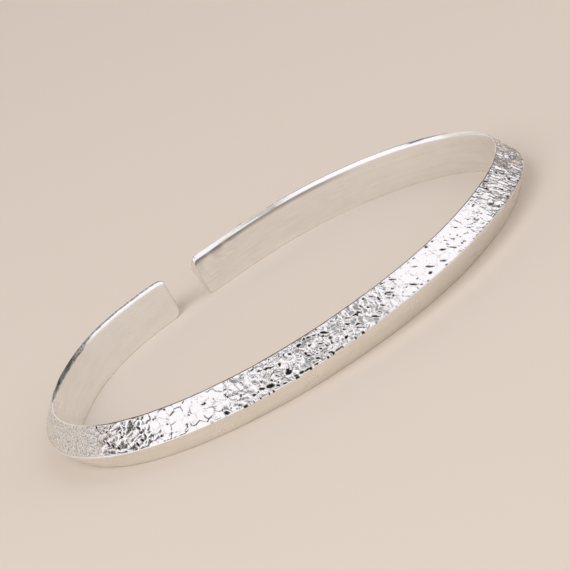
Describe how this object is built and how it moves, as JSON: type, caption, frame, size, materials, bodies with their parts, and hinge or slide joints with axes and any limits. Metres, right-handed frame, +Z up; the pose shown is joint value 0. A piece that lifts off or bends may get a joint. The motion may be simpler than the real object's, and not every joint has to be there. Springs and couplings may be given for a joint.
{
  "type": "bangle",
  "caption": "Oval open cuff bangle of wedge section with a hammered upper facet, a crisp ridge and a plain satin lower facet and inner wall.",
  "frame": {"origin": "on the surface the bangle lies on, under the middle of its bounding box", "axes": "+Z up out of the surface, +X along the long way of the oval, -Y towards the closed front, +Y towards the gap"},
  "size_m": [0.0656, 0.0502, 0.0058],
  "materials": {
    "silver": "sterling silver: hammered and reticulated on the upper outer facet, satin elsewhere"
  },
  "bodies": {
    "root": {"cuff_band": "silver"}
  },
  "joints": []
}
